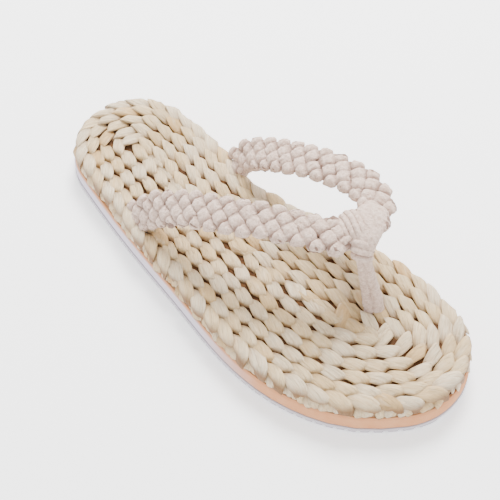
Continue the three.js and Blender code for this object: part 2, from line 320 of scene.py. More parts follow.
def scaled(tree, vector, scale, offset):
    node = addNode(tree, "ShaderNodeVectorMath", operation="MULTIPLY")
    tree.links.new(vector, node.inputs[0])
    node.inputs[1].default_value = scale
    shifted = addNode(tree, "ShaderNodeVectorMath", operation="ADD")
    tree.links.new(node.outputs[0], shifted.inputs[0])
    tree.links.new(offset, shifted.inputs[1])
    return shifted.outputs[0]


def calculate(tree, kind, *values, clamp=False):
    node = addNode(tree, "ShaderNodeMath", operation=kind, use_clamp=clamp)
    for socket, value in zip(node.inputs, values):
        if isinstance(value, (int, float)):
            socket.default_value = value
        else:
            tree.links.new(value, socket)
    return node.outputs[0]


huskLook = {
    "pale": srgb(238, 220, 190),
    "cream": srgb(237, 212, 168),
    "straw": srgb(226, 193, 142),
    "tan": srgb(208, 165, 108),
    # painted shade on the leaves where they are tucked in and low in their rows, and a second tone
    # in the core's mottling
    "tuckedShade": srgb(146, 104, 62),
    # dark brown of the core, painted shade where it shows in the gaps between leaves
    "core": srgb(70, 45, 25),
}


# dry husk leaf: cream to tan by leaf, painted shade where it is tucked in, painted shade with some
# dirt low in its row, fine grain along it
def huskMaterial():
    material, tree, shader = newMaterial("dryHusk", roughness=0.52, specular=0.35)
    grain = attribute(tree, "grain", "Vector")
    tone = attribute(tree, "leafTone")
    seed = attribute(tree, "leafSeed")
    seedVector = addNode(tree, "ShaderNodeCombineXYZ")
    tree.links.new(seed, seedVector.inputs[0])
    tree.links.new(seed, seedVector.inputs[2])

    # noise in a leaf's own coordinates, another piece of it for each leaf
    def leafNoise(stretch, scale, detail, roughness=0.55):
        place = scaled(tree, grain, stretch, seedVector.outputs[0])
        return noise(tree, place, scale, detail, roughness)

    base = ramp(tree, tone, [
        (0.0, huskLook["pale"]), (0.25, huskLook["cream"]),
        (0.65, huskLook["straw"]), (1.0, huskLook["tan"]),
    ])
    parts = addNode(tree, "ShaderNodeSeparateXYZ")
    tree.links.new(grain, parts.inputs[0])
    streaks = leafNoise((3.2, 0.9, 2.0), scale=2.2, detail=4.0, roughness=0.6)
    blotch = leafNoise((0.8, 1.6, 1.0), scale=1.3, detail=2.0)
    base = mixColour(tree, ramp(tree, streaks, [(0.38, 0.42), (0.60, 0.0)]), base, huskLook["tan"])
    base = mixColour(tree, ramp(tree, blotch, [(0.54, 0.0), (0.76, 0.5)]), base, huskLook["pale"])
    # output 1 runs from 0 to 1 along the leaf, output 2 from the floor of its row to the top
    # painted shade at both ends of a leaf, where it goes under its neighbours
    ends = ramp(tree, parts.outputs[1], [
        (0.0, 0.9), (0.16, 0.5), (0.32, 0.12), (0.44, 0.0),
        (0.78, 0.0), (0.88, 0.35), (1.0, 0.9),
    ])
    # painted shade with some dirt low in the row, in the valleys between leaves
    sides = ramp(tree, parts.outputs[2], [
        (0.52, 0.95), (0.70, 0.62), (0.85, 0.20), (0.95, 0.0),
    ])
    base = mixColour(tree, calculate(tree, "MAXIMUM", ends, sides), base, huskLook["tuckedShade"])
    tree.links.new(base, shader.inputs["Base Color"])
    fibres = leafNoise((9.0, 0.9, 4.0), scale=3.0, detail=3.0, roughness=0.6)
    folds = leafNoise((1.6, 1.2, 1.0), scale=1.4, detail=1.5)
    lower = bump(tree, shader, folds, strength=1.0, distance=0.0022)
    bump(tree, shader, fibres, strength=1.0, distance=0.0008, onTop=lower)
    return material


def coreMaterial():
    material, tree, shader = newMaterial("huskCore", roughness=0.9, specular=0.2)
    shade = noise(tree, objectCoords(tree), scale=420.0)
    share = ramp(tree, shade, [(0.45, 0.0), (0.75, 0.3)])
    base = mixColour(tree, share, huskLook["core"], huskLook["tuckedShade"])
    tree.links.new(base, shader.inputs["Base Color"])
    bump(tree, shader, shade, strength=0.6, distance=0.0008)
    return material


cottonLook = {
    "light": srgb(230, 205, 189),
    "shade": srgb(196, 165, 147),
    "deepShade": srgb(128, 96, 80),
}


# brushed cotton cord: matt, with short fluff as sheen and a lumpy surface, painted shade in the
# hollows of the lumps and on cords that lie underneath
def cottonMaterial():
    material, tree, shader = newMaterial("brushedCotton", roughness=0.95, specular=0.15)
    coords = objectCoords(tree)
    lumps = noise(tree, coords, scale=620.0, roughness=0.6)
    fluff = noise(tree, coords, scale=1250.0, roughness=0.7)
    # painted shade in the hollows of the lumps
    hollowShade = ramp(tree, lumps, [(0.32, 1.0), (0.60, 0.0)])
    specks = ramp(tree, fluff, [(0.34, 0.7), (0.52, 0.0)])
    base = mixColour(tree, hollowShade, cottonLook["light"], cottonLook["shade"])
    base = mixColour(tree, specks, base, cottonLook["shade"])
    # painted shade on cords that lie under others
    shadeShare = attribute(tree, "cordDepth")
    base = mixColour(tree, ramp(tree, shadeShare, [(0.20, 0.0), (0.62, 0.85)]), base, cottonLook["deepShade"])
    tree.links.new(base, shader.inputs["Base Color"])
    shader.inputs["Sheen Weight"].default_value = 0.2
    shader.inputs["Sheen Roughness"].default_value = 0.6
    lower = bump(tree, shader, lumps, strength=0.8, distance=0.0014)
    bump(tree, shader, fluff, strength=0.9, distance=0.0008, onTop=lower)
    return material


foamLook = {
    "peach": srgb(215, 160, 118),
    "warm": srgb(198, 131, 86),
    "glareGrey": srgb(204, 194, 206),
    # share of the painted glare: slope per metre and value at the origin, each held to 0..1
    "glareAlong": (-22.0, 1.3),
    "glareAcross": (-90.0, 0.0),
    "glareUp": (-700.0, 7.4),
}


# cut foam: peach, with a painted grey glare of reflected light along the outer heel side
def foamMaterial():
    material, tree, shader = newMaterial("peachFoam", roughness=0.85, specular=0.25)
    coords = objectCoords(tree)
    parts = addNode(tree, "ShaderNodeSeparateXYZ")
    tree.links.new(coords, parts.inputs[0])
    mottling = noise(tree, coords, scale=160.0)
    base = mixColour(tree, mottling, foamLook["peach"], foamLook["warm"])
    cells = noise(tree, coords, scale=1500.0, detail=2.0)
    # the painted glare covers the lower part of the edge and thins out towards the toe
    fade, outerSide, height = [
        calculate(tree, "MULTIPLY_ADD", parts.outputs[i], *foamLook[way], clamp=True)
        for i, way in enumerate(("glareAlong", "glareAcross", "glareUp"))]
    glare = calculate(tree, "MULTIPLY", calculate(tree, "MULTIPLY", fade, outerSide), height)
    # painted glare: the grey stands in for light reflected off the foam's side
    base = mixColour(tree, glare, base, foamLook["glareGrey"])
    tree.links.new(base, shader.inputs["Base Color"])
    bump(tree, shader, cells, strength=0.25, distance=0.0003)
    return material


rubberLook = {"dull": srgb(188, 181, 188), "light": srgb(204, 198, 205)}


def rubberMaterial():
    material, tree, shader = newMaterial("paleRubber", roughness=0.8, specular=0.3)
    shade = noise(tree, objectCoords(tree), scale=240.0)
    base = mixColour(tree, shade, rubberLook["dull"], rubberLook["light"])
    tree.links.new(base, shader.inputs["Base Color"])
    bump(tree, shader, shade, strength=0.15, distance=0.0003)
    return material


husk = huskMaterial()
huskCore = coreMaterial()
cotton = cottonMaterial()
foam = foamMaterial()
rubber = rubberMaterial()
print("materials ready")


footbedSizes = {
    "rowPitch": 7.4,
    "leafPitch": 10.8,
    # the row depth scales the painted shade low in each row
    "rowDepth": 7.4,  # from a row's floor to its top, for the colour
    "kinds": 6,
    "sections": 14,
    "seed": 27,
    # depth of a leaf's creases, and the shares of it that change along it and that run its length
    "crumple": 0.16,
    "crossCrumple": 0.6,
    "lengthCrumple": 1.6,
    # how the kinds of leaf differ: twist, width and sideways sway
    "kindTwist": (0.85, 1.1),
    "kindWidth": 0.05,
    "kindSway": 0.35,
    # how leaves of one kind differ: degrees of yaw and roll, length, width and height
    "yaw": 3.0,
    "roll": 5.0,
    "lengthSpread": 0.03,
    "widthSpread": 0.05,
    "heightSpread": 0.2,
    "toneCurve": (1.5, 4.0),  # most leaves pale, few dark
    "oddShare": 0.03,  # share of leaves with the odd tone
    "oddTone": 0.8,
    "grainRange": 50,  # how far apart the leaves' pieces of noise may lie
    # rings of leaves, counted from the edge
    "evenRings": 5,  # as many as fit in the narrowest place, a little stretched
    "ringSlack": 1.03,
    "edgeInset": 0.7,
    "ringShift": -0.08,  # of a leaf, from one ring to the next
    "leastRadius": 1.5,  # a ring ends where less than this is left inside it
    "forefootRing": (0.3, 0.7),  # room that a further ring needs, and where it ends, in pitches
    "sunk": {"ring": 0.2, "forefoot": 0.3, "spare": 0.4},  # crowns below the footbed's top
    "edgePaler": 0.15,
    "hemPaler": 0.05,
    "hemPitch": 0.3,  # as a share of the leaves' pitch
    "hemShift": 0.3,  # of the hem's own step
    # the single row between the innermost rings: room it needs, least width, gain and limit
    "spareRoom": 0.05,
    "spareWidth": (0.4, 2, 1.15),
    "spareLength": 12,  # in stations of the sole
    "narrowDrop": 2.2,  # how much lower a leaf lies for the share of width it lacks
    # a leaf's direction is taken between points this far off, at most a quarter of the pitch
    "tangentReach": 2.5,
    "leastTurn": 1.3,
    # across as a share of half the width, and rise of the crown there as a share of the doming
    "profile": [
        (1.0, 0.0), (0.82, 0.66), (0.34, 0.95), (-0.24, 1.0), (-0.78, 0.70), (-1.0, 0.0),
    ],
    # a row of the table: along the row, towards its inner side, crown below the top, twist,
    # half width, half thickness and doming
    "leaf": [
        (-8.0, 2.9, -4.0, 14, 1.4, 0.5, 0.3), (-6.6, 2.7, -2.5, 12, 2.0, 0.8, 0.5),
        (-4.4, 2.1, -1.2, 8, 2.6, 0.9, 0.8), (-1.9, 1.1, -0.4, 2, 3.0, 1.0, 1.0),
        (0.8, 0.1, 0.1, -4, 3.2, 1.1, 1.1), (3.3, -1.0, 0.3, -10, 3.2, 1.1, 1.0),
        (5.1, -1.8, -0.2, -16, 3.1, 1.1, 0.8), (6.0, -2.2, -2.0, -20, 2.8, 1.0, 0.5),
        (6.0, -2.4, -4.8, -22, 2.5, 0.8, 0.3),
    ],
    "edgeLeaf": [
        (-7.8, 4.4, -4.0, 14, 1.5, 0.6, 0.3), (-6.5, 4.1, -2.4, 10, 2.3, 0.8, 0.6),
        (-4.3, 3.2, -1.0, 4, 2.8, 1.0, 1.0), (-1.8, 1.9, -0.3, -4, 3.2, 1.1, 1.2),
        (0.9, 0.3, 0.0, -14, 3.4, 1.2, 1.2), (3.3, -1.2, -0.4, -26, 3.5, 1.2, 1.1),
        (5.1, -2.3, -1.6, -36, 3.4, 1.1, 0.9), (6.0, -3.0, -3.9, -44, 3.1, 1.0, 0.6),
        (6.2, -3.3, -6.6, -50, 2.6, 0.8, 0.3),
    ],
    "underside": 0.6,  # flat part underneath, as a share of the half width
    "lead": 0.9,  # how far the inner corner of a leaf's end leads, and the outer one lags
    # ragged strips that hang over the edge, down to the foam, all at one height so that they get no
    # painted shade
    "hemHeight": 0.95,
    "hem": [
        (-1.2, -1.0, -1.8, -58, 2.6, 0.4, 0.3), (-0.8, -2.0, -3.1, -58, 3.4, 0.4, 0.4),
        (-0.2, -2.6, -4.6, -58, 3.7, 0.4, 0.5), (0.3, -2.8, -5.9, -58, 3.7, 0.4, 0.4),
        (0.6, -2.8, -7.0, -58, 3.4, 0.3, 0.3), (0.8, -2.7, -7.9, -58, 2.9, 0.3, 0.1),
    ],
}


# one leaf of a plaited row that runs along +X, with the inner side of the row towards +Y:
# narrow where it comes up from under the last leaf, broad and blunt where it folds down
def leafTemplate(kind, form):
    s = footbedSizes
    draw = np.random.default_rng(s["seed"] + 10 * kind + len(form))
    n = s["sections"]
    table = curveThrough(s[form], n, True)
    t = np.linspace(0, 1, n)
    roll = np.radians(table[:, 3] * draw.uniform(*s["kindTwist"]))
    wide = table[:, 4] * (1 + s["kindWidth"] * draw.normal())
    crown = table[:, :3].copy()
    crown[:, :2] += s["kindSway"] * draw.normal(size=2) * np.sin(math.pi * t)[:, None]
    along = np.gradient(crown, axis=0)
    along /= np.linalg.norm(along, axis=1)[:, None]
    shape = s["profile"]
    m = len(shape) + 2
    creases = draw.normal(0, s["crumple"], (n, m))
    creases = s["crossCrumple"] * creases + draw.normal(0, s["lengthCrumple"] * s["crumple"], m)
    lead = Vector((0.0 if form == "hem" else s["lead"], 0.0, 0.0))
    up = Vector((0.0, math.sin(roll[0]), math.cos(roll[0])))
    points, grain = [], []
    for i in range(n):
        way = Vector(along[i])
        up = (up - way * up.dot(way)).normalized()
        if i:
            up = Matrix.Rotation(roll[i - 1] - roll[i], 3, way) @ up
        across = way.cross(up)
        doming, thick = table[i, 6], table[i, 5]
        section = []
        for k, (c, r) in enumerate(shape):
            section.append((c, doming * (r - 1) + creases[i, k] * min(doming, 1) * r))
        for c in (-s["underside"], s["underside"]):
            section.append((c, -doming - 2 * thick))
        for c, rise in section:
            point = Vector(crown[i]) + across * (c * wide[i]) + up * rise - lead * c
            points.append(tuple(point))
            height = 1 + point.z / s["rowDepth"] if form != "hem" else s["hemHeight"]
            grain.append((c, t[i], height))
    faces = []
    for i in range(n - 1):
        for k in range(m):
            j = (k + 1) % m
            faces.append((i * m + k, i * m + j, (i + 1) * m + j, (i + 1) * m + k))
    faces.append(tuple(range(m)))
    faces.append(tuple(range((n - 1) * m, n * m)))
    leaf = addMesh(f"{form}{kind}", np.array(points) * toMetres, [], faces,
                   {"grain": ("FLOAT_VECTOR", grain)}, link=False)
    faceOutwards(leaf)
    return leaf


# even steps along a ring or a line: gives the place of each and the direction there
def stepAlong(ring, closed, pitch, phase):
    if closed:
        ring = np.vstack([ring, ring[:1]])
    run = np.concatenate([[0], np.cumsum(np.linalg.norm(np.diff(ring, axis=0), axis=1))])
    count = max(int(round(run[-1] / pitch)), 2)
    spots = (np.arange(count) + phase) / count * run[-1]
    reach = min(footbedSizes["tangentReach"], pitch / 4)

    def at(d):
        d = np.mod(d, run[-1]) if closed else np.clip(d, 0, run[-1])
        return np.stack([np.interp(d, run, ring[:, 0]), np.interp(d, run, ring[:, 1])], -1)

    for spot in spots:
        place = at(spot)
        ahead = at(spot + reach) - at(spot - reach)
        size = np.linalg.norm(ahead)
        # none where an inner ring turns back on itself
        if size > footbedSizes["leastTurn"] * reach:
            yield place, ahead / size


def layLeaves():
    s = footbedSizes
    draw = np.random.default_rng(s["seed"])
    spots, turns, sizes, kinds, tones, seeds = [], [], [], [], [], []

    def lay(place, ahead, height, wide, kind, paler):
        yaw = math.atan2(ahead[1], ahead[0]) + math.radians(draw.normal(0, s["yaw"]))
        roll = math.radians(draw.normal(0, s["roll"]))
        matrix = Matrix.Rotation(yaw, 3, "Z") @ Matrix.Rotation(roll, 3, "X")
        turns.append(tuple(matrix.to_euler()))
        long = 1 + draw.normal(0, s["lengthSpread"])
        sizes.append((long, wide * (1 + draw.normal(0, s["widthSpread"])), 1.0))
        height += draw.normal(0, s["heightSpread"])
        spots.append((place[0] + shift[0], place[1] + shift[1], height))
        kinds.append(kind)
        tone = np.clip(draw.beta(*s["toneCurve"]) - paler, 0, 1)
        tones.append(float(tone if draw.random() > s["oddShare"] else s["oddTone"]))
        seeds.append(float(draw.random() * s["grainRange"]))

    # form 0 is a leaf, 1 a leaf of the edge, 2 a strip of the hem
    def layRow(ring, phase, sunk, closed=True, width=None, form=0, spread=1.0, paler=0.0):
        for place, ahead in stepAlong(ring, closed, s["leafPitch"] * spread, phase):
            kind = draw.integers(s["kinds"]) + form * s["kinds"]
            wide = width(place) if width else 1.0
            height = sole["footbedTop"] - s["sunk"][sunk] - s["narrowDrop"] * max(1 - wide, 0)
            lay(place, ahead, height, wide, kind, paler)

    evenRings = s["evenRings"]
    pitch = columns[:, 4].min() / evenRings
    pitch = min(s["rowPitch"], pitch * s["ringSlack"])
    edgeRing = planRing(0.5 * pitch + s["edgeInset"], 0.5 * pitch + s["leastRadius"])
    layRow(edgeRing, 0.0, "ring", form=1, paler=s["edgePaler"])
    layRow(edgeRing, s["hemShift"], "ring", form=2, spread=s["hemPitch"], paler=s["hemPaler"])
    for k in range(1, evenRings):
        inset = (k + 0.5) * pitch
        layRow(planRing(inset, inset + s["leastRadius"]), s["ringShift"] * k % 1.0, "ring")
    # the forefoot is wider than the even rings: further ones there, and a single row in the rest
    room, end = s["forefootRing"]
    rings = np.maximum(np.floor(spine[:, 2] / pitch + room), evenRings)
    for k in range(evenRings, int(rings.max())):
        ring = planRing((k + 0.5) * pitch, (k + end) * pitch)
        layRow(ring, s["ringShift"] * k % 1.0, "forefoot")
    spare = spine[:, 2] / pitch - rings
    unfilled = (spare > s["spareRoom"]) * rings

    def spareWidth(place):
        near = np.argmin(np.linalg.norm(spine[:, :2] - place, axis=1))
        least, gain, most = s["spareWidth"]
        return min(least + gain * max(spare[near], 0.0), most)

    for part in np.split(np.arange(len(spine)), np.where(np.diff(unfilled) != 0)[0] + 1):
        if unfilled[part[0]] and len(part) > s["spareLength"]:
            layRow(spine[part][:, :2], 0.5, "spare", closed=False, width=spareWidth)
    return spots, turns, sizes, kinds, tones, seeds


def makeFootbed():
    s = footbedSizes
    spots, turns, sizes, kinds, tones, seeds = layLeaves()
    forms = ("leaf", "edgeLeaf", "hem")
    templates = [leafTemplate(i, form) for form in forms for i in range(s["kinds"])]
    tree, names = newTree("layHuskLeaves", [
        ("Leaf size", "NodeSocketFloat", 1.0),
        ("Wrinkle", "NodeSocketFloat", 0.0004),
        ("Wrinkle scale", "NodeSocketFloat", 260.0),
        ("Material", "NodeSocketMaterial", None),
    ])
    enter = addNode(tree, "NodeGroupInput")
    leave = addNode(tree, "NodeGroupOutput")
    join = addNode(tree, "GeometryNodeJoinGeometry")
    for template in reversed(templates):
        info = addNode(tree, "GeometryNodeObjectInfo", transform_space="ORIGINAL")
        info.inputs["Object"].default_value = template
        info.inputs["As Instance"].default_value = True
        tree.links.new(info.outputs["Geometry"], join.inputs[0])
    place = addNode(tree, "GeometryNodeInstanceOnPoints")
    place.inputs["Pick Instance"].default_value = True
    turn = addNode(tree, "FunctionNodeEulerToRotation")
    grow = addNode(tree, "ShaderNodeVectorMath", operation="SCALE")
    tree.links.new(namedAttribute(tree, "turn", "FLOAT_VECTOR"), turn.inputs[0])
    tree.links.new(namedAttribute(tree, "leafScale", "FLOAT_VECTOR"), grow.inputs[0])
    tree.links.new(enter.outputs["Leaf size"], grow.inputs["Scale"])
    tree.links.new(enter.outputs["Geometry"], place.inputs["Points"])
    tree.links.new(join.outputs[0], place.inputs["Instance"])
    tree.links.new(namedAttribute(tree, "leafKind", "INT"), place.inputs["Instance Index"])
    tree.links.new(turn.outputs[0], place.inputs["Rotation"])
    tree.links.new(grow.outputs[0], place.inputs["Scale"])
    real = addNode(tree, "GeometryNodeRealizeInstances")
    tree.links.new(place.outputs[0], real.inputs[0])
    wrinkle, wrinkleScale = enter.outputs["Wrinkle"], enter.outputs["Wrinkle scale"]
    ripple = addRipple(tree, real.outputs[0], wrinkle, wrinkleScale)
    paint = addNode(tree, "GeometryNodeSetMaterial")
    tree.links.new(ripple, paint.inputs[0])
    tree.links.new(enter.outputs["Material"], paint.inputs["Material"])
    soften = addNode(tree, "GeometryNodeSetShadeSmooth")
    tree.links.new(paint.outputs[0], soften.inputs[0])
    tree.links.new(soften.outputs[0], leave.inputs[0])
    plait = addMesh("huskPlait", np.array(spots) * toMetres, [], [], {
        "turn": ("FLOAT_VECTOR", turns),
        "leafScale": ("FLOAT_VECTOR", sizes),
        "leafKind": ("INT", [int(k) for k in kinds]),
        "leafTone": ("FLOAT", tones),
        "leafSeed": ("FLOAT", seeds),
    })
    plainMesh(plait, tree, names, {"Material": husk})
    for template in templates:
        bpy.data.objects.remove(template)
    print("husk leaves", len(spots), "faces", len(plait.data.polygons))
    return plait


# pushes a surface in and out by soft noise, in metres
def addRipple(tree, geometry, amount, scale):
    texture = addNode(tree, "ShaderNodeTexNoise")
    texture.inputs["Detail"].default_value = 2.0
    centred = addNode(tree, "ShaderNodeMath", operation="SUBTRACT")
    centred.inputs[1].default_value = 0.5
    timesTwo = addNode(tree, "ShaderNodeMath", operation="MULTIPLY")
    normal = addNode(tree, "GeometryNodeInputNormal")
    push = addNode(tree, "ShaderNodeVectorMath", operation="SCALE")
    move = addNode(tree, "GeometryNodeSetPosition")
    tree.links.new(scale, texture.inputs["Scale"])
    tree.links.new(texture.outputs["Fac"], centred.inputs[0])
    tree.links.new(centred.outputs[0], timesTwo.inputs[0])
    tree.links.new(amount, timesTwo.inputs[1])
    tree.links.new(normal.outputs[0], push.inputs[0])
    tree.links.new(timesTwo.outputs[0], push.inputs["Scale"])
    tree.links.new(geometry, move.inputs[0])
    tree.links.new(push.outputs[0], move.inputs["Offset"])
    return move.outputs[0]


coreSizes = {
    # inset from the sole's edge, and height
    "profile": [(2.6, 11.4), (1.8, 12.4), (2.0, 13.8), (3.4, 15.6), (6.5, 17.1)],
    "every": 4,  # keeps one column of the plan in four
}


# core under the leaves, a slab with a soft edge, dark brown as painted shade in the gaps between
# them
def makeCore():
    loops = []
    for inset, height in coreSizes["profile"]:
        ring = planRing(inset)[::coreSizes["every"]]
        loops.append(np.column_stack([ring + shift[:2], np.full(len(ring), height)]))
    count = len(loops[0])
    points = list(np.vstack(loops))
    faces = []
    for j in range(len(loops) - 1):
        for c in range(count):
            d = (c + 1) % count
            low, high = j * count, (j + 1) * count
            faces.append((low + c, low + d, high + d, high + c))
    faces.append(tuple(range(count))[::-1])
    faces.append(tuple(range((len(loops) - 1) * count, len(loops) * count)))
    core = addMesh("huskCoreSlab", np.array(points) * toMetres, [], faces)
    core.data.materials.append(huskCore)
    return core


def cordTree():
    tree, names = newTree("roundCord", [
        ("Cord width", "NodeSocketFloat", 0.0056),
        ("Cord height", "NodeSocketFloat", 0.0034),
        ("Sides", "NodeSocketInt", 14),
        ("Fluff", "NodeSocketFloat", 0.0004),
        ("Fluff scale", "NodeSocketFloat", 650.0),
        ("Material", "NodeSocketMaterial", None),
    ])
    enter = addNode(tree, "NodeGroupInput")
    leave = addNode(tree, "NodeGroupOutput")
    toCurve = addNode(tree, "GeometryNodeMeshToCurve")
    face = addNode(tree, "GeometryNodeSetCurveNormal", mode="FREE")
    circle = addNode(tree, "GeometryNodeCurvePrimitiveCircle")
    circle.inputs["Radius"].default_value = 0.5
    squash = addNode(tree, "GeometryNodeTransform")
    size = addNode(tree, "ShaderNodeCombineXYZ")
    sweep = addNode(tree, "GeometryNodeCurveToMesh")
    sweep.inputs["Fill Caps"].default_value = True
    tree.links.new(enter.outputs["Geometry"], toCurve.inputs[0])
    tree.links.new(toCurve.outputs[0], face.inputs[0])
    tree.links.new(namedAttribute(tree, "facing", "FLOAT_VECTOR"), face.inputs["Normal"])
    tree.links.new(face.outputs[0], sweep.inputs["Curve"])
    tree.links.new(namedAttribute(tree, "cordSize", "FLOAT"), sweep.inputs["Scale"])
    tree.links.new(enter.outputs["Sides"], circle.inputs["Resolution"])
    tree.links.new(enter.outputs["Cord height"], size.inputs[0])
    tree.links.new(enter.outputs["Cord width"], size.inputs[1])
    size.inputs[2].default_value = 1.0
    tree.links.new(circle.outputs[0], squash.inputs[0])
    tree.links.new(size.outputs[0], squash.inputs["Scale"])
    tree.links.new(squash.outputs[0], sweep.inputs["Profile Curve"])
    fluff, fluffScale = enter.outputs["Fluff"], enter.outputs["Fluff scale"]
    fluffed = addRipple(tree, sweep.outputs[0], fluff, fluffScale)
    real = addNode(tree, "GeometryNodeRealizeInstances")
    tree.links.new(fluffed, real.inputs[0])
    paint = addNode(tree, "GeometryNodeSetMaterial")
    tree.links.new(real.outputs[0], paint.inputs[0])
    tree.links.new(enter.outputs["Material"], paint.inputs["Material"])
    soft = addNode(tree, "GeometryNodeSetShadeSmooth")
    tree.links.new(paint.outputs[0], soft.inputs[0])
    tree.links.new(soft.outputs[0], leave.inputs[0])
    return tree, names


roundCord, cordNames = cordTree()


# cords is a list of (points, facings, sizes, cordShades); each becomes one swept cord of the piece,
# and cordShades is its painted shade, 0 on top to 1 underneath
def makeCords(name, cords, width, height, look):
    points, facings, sizes, cordShades, edges = [], [], [], [], []
    for line, facing, size, shadeShare in cords:
        start = len(points)
        points.extend(line + shift)
        facings.extend(facing)
        sizes.extend(size)
        cordShades.extend(shadeShare)
        edges.extend((start + i, start + i + 1) for i in range(len(line) - 1))
    piece = addMesh(name, np.array(points) * toMetres, edges, [], {
        "facing": ("FLOAT_VECTOR", facings),
        "cordSize": ("FLOAT", sizes),
        "cordDepth": ("FLOAT", cordShades),
    })
    sides, fluff, fluffScale = look
    plainMesh(piece, roundCord, cordNames, {
        "Cord width": width * toMetres,
        "Cord height": height * toMetres,
        "Sides": sides,
        "Fluff": fluff * toMetres,
        "Fluff scale": fluffScale,
        "Material": cotton,
    })
    print(name, "faces", len(piece.data.polygons))
    return piece


braid = {
    "pairs": 3,  # cords wound each way round
    "turn": 26.7,  # length of strap in which a cord goes once round
    "width": 20.6,
    "thickness": 7.2,
    "lift": 1.1,
    "cordWidth": 6.4,
    "cordHeight": 3.5,
    "step": 0.4,
    "start": 0.015,  # share of the route left out where the strap enters the footbed
    "cordLook": (18, 2.0, 540.0),  # sides, fluff and its scale
    "swell": 0.07,  # how much a cord grows where it lies on top
    # the flat oval that the cords go round
    "ovalPoints": 721,
    "ovalPower": 0.8,
    "edgeBlur": 41,
    "edgeLift": 0.6,  # share of the lift that is lost at the edges
    # slow wander of a cord to both sides, a new place every few millimetres
    "uneven": 0.42,
    "unevenEvery": 5.0,
    "unevenUp": 0.6,
    "seed": 11,
    # share of the route where a strap starts to narrow, and its width at the end
    "outerNarrow": (0.95, 0.7),
    "innerNarrow": (0.82, 0.3),
}


# even steps round a flattened oval: share of the way round, across and facing, and its normal
def ovalWalk(halfWide, halfThick):
    s = braid
    spin = np.linspace(0, 2 * math.pi, s["ovalPoints"])
    across = halfWide * np.sign(np.cos(spin)) * np.abs(np.cos(spin)) ** s["ovalPower"]
    facing = halfThick * np.sign(np.sin(spin)) * np.abs(np.sin(spin)) ** s["ovalPower"]
    run = np.concatenate([[0], np.cumsum(np.hypot(np.diff(across), np.diff(facing)))])
    q = run / run[-1]
    even = np.linspace(0, 1, s["ovalPoints"])
    a, f = np.interp(even, q, across), np.interp(even, q, facing)
    blur = np.hanning(s["edgeBlur"]) / np.hanning(s["edgeBlur"]).sum()
    half = s["edgeBlur"] // 2
    a, f = [
        np.convolve(np.concatenate([line[-half - 1:-1], line, line[1:half + 1]]), blur, "valid")
        for line in (a, f)]
    na, nf = np.gradient(f), -np.gradient(a)
    size = np.hypot(na, nf)
    return even, a, f, na / size, nf / size


# soft plait pressed flat: cords wind both ways round and pass over and under in turn
def braidStrap(name, rows, narrowFrom, narrowTo):
    s = braid
    draw = np.random.default_rng(s["seed"])
    route = layRoute(rows, s["step"], start=s["start"])
    inward = s["cordHeight"] / 2 + s["lift"]
    walk = ovalWalk(s["width"] / 2 - inward, s["thickness"] / 2 - inward)
    share = route["at"] / route["length"]
    slim = 1 - (1 - narrowTo) * smooth((share - narrowFrom) / (1 - narrowFrom))
    knots = np.arange(0, route["length"] + s["unevenEvery"] + 1, s["unevenEvery"])
    cords = []
    for way in (1, -1):
        for j in range(s["pairs"]):
            q = np.mod(way * route["at"] / s["turn"] + j / s["pairs"], 1.0)
            a, f, na, nf = [np.interp(q, walk[0], line) for line in walk[1:]]
            lift = way * s["lift"] * np.cos(2 * math.pi * s["pairs"] * q)
            lift = lift * (1 - s["edgeLift"] * na ** 2)
            a, f = (a + na * lift) * slim, f + nf * lift
            aside, up = [
                np.interp(route["at"], knots, draw.normal(0, s["uneven"], len(knots)))
                for k in range(2)]
            a, f = a + aside, f + s["unevenUp"] * up
            line = route["centre"] + route["across"] * a[:, None] + route["facing"] * f[:, None]
            lean = route["across"] * na[:, None] + route["facing"] * nf[:, None]
            # cords underneath get painted shade, those on top none
            over = lift / s["lift"]
            cords.append((line, lean, 1.0 + s["swell"] * over, 0.5 - 0.5 * over))
    return makeCords(name, cords, s["cordWidth"], s["cordHeight"], s["cordLook"])


knot = {
    # threads laid over the end of the outer strap, down to the cross turns
    "bundle": [
        (38.6, 21.2, 53.0), (42.0, 18.6, 58.4), (46.6, 15.8, 61.6), (51.6, 13.2, 62.0),
        (55.6, 11.6, 59.6), (58.2, 11.0, 55.6), (59.4, 10.8, 51.6),
    ],
    "steps": 60,  # points of a thread, and of a cross turn
    "middle": (50.0, 18.0, 48.0),  # the threads face away from here
    "threads": 5,
    "threadSize": 2.9,
    "spread": 13.4,
    "gather": 0.30,  # how much narrower the bundle ends, and the share where that starts
    "gatherFrom": 0.45,
    "sink": 1.6,  # how far the outer threads lie lower, and each second one
    "stagger": 0.25,
    "outwards": 0.6,  # how far the outer threads turn aside
    # cross turns round the neck
    "turns": 3,
    "turnSize": 3.4,
    "turnFrom": 0.345,  # shares of the thong route
    "turnTo": 0.435,
    "turnArc": (-0.6, 1.42),  # half circles
    "turnRise": 0.012,  # share of the route climbed in a half circle
    "turnWide": 12.0,
    "turnAside": 0.8,
    "turnThick": 8.8,
    "turnSlimmer": (0.08, 0.05),  # from each turn to the next, in width and thickness
    "routeStep": 0.25,
    "cordLook": (14, 0.9, 700.0),  # sides, fluff and its scale
    "shadeShare": 0.12,  # shade of all these cords, as on the braid from 0 on top to 1 underneath
    # the filling, how much it tapers, and how its ends are rounded
    "fillStart": 0.03,
    "fillStep": 0.5,
    "fillWidth": 18.0,
    "fillThickness": 10.0,
    "fillTaper": 0.35,
    "fillRound": 4,
    "fillTip": 0.02,
    "fillLeast": 0.15,
    "fillLook": (36, 0.9, 420.0),
}


